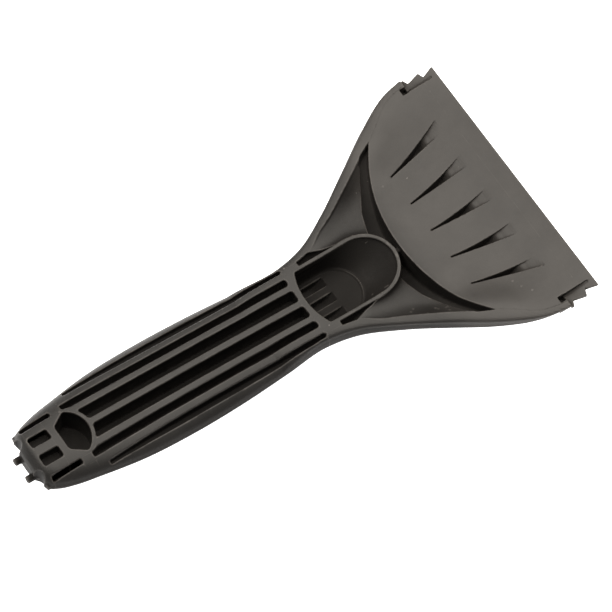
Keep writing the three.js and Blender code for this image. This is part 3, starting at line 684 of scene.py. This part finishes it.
def sample(grid, points):
    """The value and gradient of a sampled grid at points given in cells."""
    cell = np.clip(points.astype(int), 0, np.array(grid.shape) - 2)
    f = points - cell
    value, gradient = 0.0, np.zeros((len(points), 3))
    for c in CORNERS:
        corner = grid[tuple((cell + c).T)]
        w = [np.where(c[m], f[:, m], 1 - f[:, m]) for m in range(3)]
        value = value + corner * w[0] * w[1] * w[2]
        for m in range(3):
            others = w[(m + 1) % 3] * w[(m + 2) % 3]
            gradient[:, m] += corner * others * (1 if c[m] else -1)
    return value, gradient


def mesh_piece(name, field, whole, low):
    """One closed object from its field. Where it shows, its shading follows the whole moulding."""
    points, quads = surface_net(field)
    mesh = bpy.data.meshes.new(name)
    mesh.from_pydata(((low + points * STEP + (EDGE_X, 0, 0)) * MM).tolist(), [], quads.tolist())
    value, gradient = sample(whole, points)
    shows = value > -SHOWS * STEP
    normals = gradient / np.maximum(np.linalg.norm(gradient, axis=1, keepdims=True), 1e-6)
    mesh.shade_smooth()
    mesh.set_sharp_from_angle(angle=math.radians(SHARP))
    mesh.normals_split_custom_set_from_vertices((normals * shows[:, None]).tolist())
    piece = bpy.data.objects.new(name, mesh)
    bpy.context.collection.objects.link(piece)
    return piece


def build_pieces(material):
    axes = [np.arange(math.floor(lo / STEP), math.ceil(hi / STEP) + 1) * STEP for lo, hi in FIELD]
    x, y, z = np.meshgrid(*axes, indexing="ij", sparse=True)
    middle = len(axes[1]) // 2
    half = moulding(x, y[:, middle:], z)
    whole = np.concatenate([half[:, :0:-1], half], axis=1)
    for node, region, x0, x1, y0, y1 in pieces():
        i, j = (slice(*np.searchsorted(axis, ends)) for axis, ends in zip(axes, ((x0, x1), (y0, y1))))
        part = whole[i, j]
        signed = node.startswith(("ice_ridge", "end_nib"))
        own = region(x[i], y[:, j] if signed else np.abs(y[:, j]), z)
        field = np.minimum(np.maximum(part, own), np.maximum(part + SUNK, own - LIP))
        field = np.pad(field, 1, constant_values=1.0)
        part = np.pad(part, 1, mode="edge")
        low = np.array([axes[0][i][0], axes[1][j][0], axes[2][0]]) - STEP
        piece = mesh_piece(node + "_moulded", field, part, low)
        piece.data.materials.append(material)
        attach(piece, "root")
        replaced = [node]
        if node.startswith("web_"):
            replaced += [node.replace("web_", "web_front_wall_"), node.replace("web_", "web_rear_wall_")]
        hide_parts(*replaced)


# ---- material ----------------------------------------------------------------------------------------
WEAR_START = -56.0                             # the plastic grows paler from here, in mm
WEAR_FULL = -40.0                              # to here, and stays so up to the scraping edge
HOLLOW_REACH = 0.025                           # how far a point looks for walls round it, in metres, for the painted shade and painted light in hollows
HOLLOW_SAMPLES = 16
GRAIN_STRENGTH = 0.12
GRAIN_HEIGHT = 0.0002


def moulded_plastic():
    """Dark warm grey plastic with a fine grain and pale specks, paler on the head, with a painted highlight
    on its sharp edges, painted light in its deepest hollows and painted shade that cuts down its reflection
    in hollows."""
    material = bpy.data.materials.new("moulded_plastic")
    material.use_nodes = True
    tree = material.node_tree
    nodes, links = tree.nodes, tree.links
    shader = nodes["Principled BSDF"]
    place = nodes.new("ShaderNodeTexCoord").outputs["Object"]

    def noise(scale, detail=4.0, rough=0.6):
        node = nodes.new("ShaderNodeTexNoise")
        node.inputs["Scale"].default_value = scale
        node.inputs["Detail"].default_value = detail
        node.inputs["Roughness"].default_value = rough
        links.new(place, node.inputs["Vector"])
        return node.outputs["Fac"]

    def ramp(value, *stops):
        node = nodes.new("ShaderNodeValToRGB")
        while len(node.color_ramp.elements) < len(stops):
            node.color_ramp.elements.new(0.5)
        for element, (at, colour) in zip(node.color_ramp.elements, stops):
            element.position = at
            element.color = (*colour, 1.0)
        links.new(value, node.inputs["Fac"])
        return node.outputs["Color"]

    def mixed(factor, first, second):
        node = nodes.new("ShaderNodeMix")
        node.data_type = "RGBA"
        for socket, source in (("Factor", factor), ("A", first), ("B", second)):
            links.new(source, node.inputs[socket])
        return node.outputs["Result"]

    def grey(value):
        return (value * 1.07, value, value * 0.94)

    fresh = ramp(noise(35, 3), (0.35, grey(0.014)), (0.65, grey(0.018)))
    worn = ramp(noise(60, 4), (0.35, grey(0.037)), (0.65, grey(0.047)))
    length = nodes.new("ShaderNodeSeparateXYZ")
    links.new(place, length.inputs["Vector"])
    toward_edge = nodes.new("ShaderNodeMapRange")
    toward_edge.interpolation_type = "SMOOTHSTEP"
    toward_edge.inputs["From Min"].default_value = (EDGE_X + WEAR_START) * MM
    toward_edge.inputs["From Max"].default_value = (EDGE_X + WEAR_FULL) * MM
    links.new(length.outputs["X"], toward_edge.inputs["Value"])
    skin = mixed(toward_edge.outputs["Result"], fresh, worn)

    hollow = nodes.new("ShaderNodeAmbientOcclusion")
    hollow.samples = HOLLOW_SAMPLES
    hollow.inputs["Distance"].default_value = HOLLOW_REACH
    # painted shade: the reflection drops to almost nothing in hollows, where shade falls
    gloss_with_painted_shade = ramp(hollow.outputs["AO"], (0.84, grey(0.04)), (1.0, grey(0.5)))
    links.new(gloss_with_painted_shade, shader.inputs["Specular IOR Level"])
    # painted light: the deepest hollows are lifted from the dark plastic to a paler grey
    painted_hollow_light_mask = ramp(hollow.outputs["AO"], (0.05, grey(1.0)), (0.3, grey(0.0)))
    painted_hollow_light = ramp(noise(300, 3), (0.3, grey(0.04)), (0.7, grey(0.06)))
    skin = mixed(painted_hollow_light_mask, skin, painted_hollow_light)
    # painted highlight: sharp convex edges, found by their pointiness, are made paler
    corners = nodes.new("ShaderNodeNewGeometry").outputs["Pointiness"]
    painted_edge_highlight_mask = ramp(corners, (0.508, grey(0.0)), (0.54, grey(0.7)))
    painted_edge_highlight = ramp(noise(200, 4), (0.3, grey(0.05)), (0.7, grey(0.12)))
    skin = mixed(painted_edge_highlight_mask, skin, painted_edge_highlight)
    scuffed = ramp(noise(420, 2, 0.5), (0.77, grey(0.0)), (0.8, grey(1.0)))
    scuff = ramp(noise(900, 2), (0.3, grey(0.09)), (0.7, grey(0.13)))
    links.new(mixed(scuffed, skin, scuff), shader.inputs["Base Color"])

    rough = ramp(noise(90, 5), (0.3, (0.4,) * 3), (0.7, (0.47,) * 3))
    links.new(rough, shader.inputs["Roughness"])

    grain = nodes.new("ShaderNodeBump")
    grain.inputs["Strength"].default_value = GRAIN_STRENGTH
    grain.inputs["Distance"].default_value = GRAIN_HEIGHT
    links.new(noise(2600, 2), grain.inputs["Height"])
    links.new(grain.outputs["Normal"], shader.inputs["Normal"])
    return material


# ---- floor, light and camera ----------------------------------------------------------------------------
FLOOR_HALF = 3.0
FLOOR_GREY = 0.95
FLOOR_GLOW = 1.6
WORLD_GLOW = 0.08
KEY_DIRECTION = (0.12, 0.3, 0.95)
KEY_SIZE = (2.8, 2.0)
KEY_POWER = 49.0
KEY_COLOUR = (1.0, 0.94, 0.86)
LIGHT_DISTANCE = 1.5
VIEW_AZIMUTH, VIEW_ELEVATION = -32.9, 60.3    # degrees
VIEW_DISTANCE = 2.891
VIEW_LIMIT = 20.0
VIEW_TARGET = Vector((0.01555, -0.00027, 0.00993))
LENS = 470.6
SENSOR = 36.0


def floor_and_light():
    material = bpy.data.materials.new("pale_floor")
    material.use_nodes = True
    shader = material.node_tree.nodes["Principled BSDF"]
    shader.inputs["Base Color"].default_value = (FLOOR_GREY, FLOOR_GREY, FLOOR_GREY, 1.0)
    shader.inputs["Roughness"].default_value = 0.9
    shader.inputs["Emission Color"].default_value = (1.0, 1.0, 1.0, 1.0)
    shader.inputs["Emission Strength"].default_value = FLOOR_GLOW
    mesh = bpy.data.meshes.new("floor")
    corners = [(-1, -1), (1, -1), (1, 1), (-1, 1)]
    mesh.from_pydata([(x * FLOOR_HALF, y * FLOOR_HALF, 0.0) for x, y in corners], [], [(0, 1, 2, 3)])
    mesh.materials.append(material)
    floor = bpy.data.objects.new("floor", mesh)
    bpy.context.collection.objects.link(floor)

    world = bpy.data.worlds.new("studio")
    world.use_nodes = True
    background = world.node_tree.nodes["Background"]
    background.inputs["Color"].default_value = (1.0, 1.0, 1.0, 1.0)
    background.inputs["Strength"].default_value = WORLD_GLOW
    bpy.context.scene.world = world

    lamp = bpy.data.lights.new("key", "AREA")
    lamp.shape = "RECTANGLE"
    lamp.size, lamp.size_y = KEY_SIZE
    lamp.energy = KEY_POWER
    lamp.color = KEY_COLOUR
    light = bpy.data.objects.new("key", lamp)
    direction = Vector(KEY_DIRECTION).normalized()
    light.location = direction * LIGHT_DISTANCE
    light.rotation_euler = direction.to_track_quat("Z", "Y").to_euler()
    bpy.context.collection.objects.link(light)


def camera():
    azimuth, elevation = math.radians(VIEW_AZIMUTH), math.radians(VIEW_ELEVATION)
    back = Vector((math.sin(azimuth) * math.cos(elevation), -math.cos(azimuth) * math.cos(elevation),
                   math.sin(elevation)))
    data = bpy.data.cameras.new("camera")
    data.lens = LENS
    data.sensor_width = SENSOR
    data.clip_end = VIEW_LIMIT
    view = bpy.data.objects.new("camera", data)
    view.location = VIEW_TARGET + back * VIEW_DISTANCE
    view.rotation_euler = back.to_track_quat("Z", "Y").to_euler()
    bpy.context.collection.objects.link(view)
    bpy.context.scene.camera = view


build_pieces(moulded_plastic())
floor_and_light()
camera()
bpy.context.scene.view_settings.view_transform = "Standard"
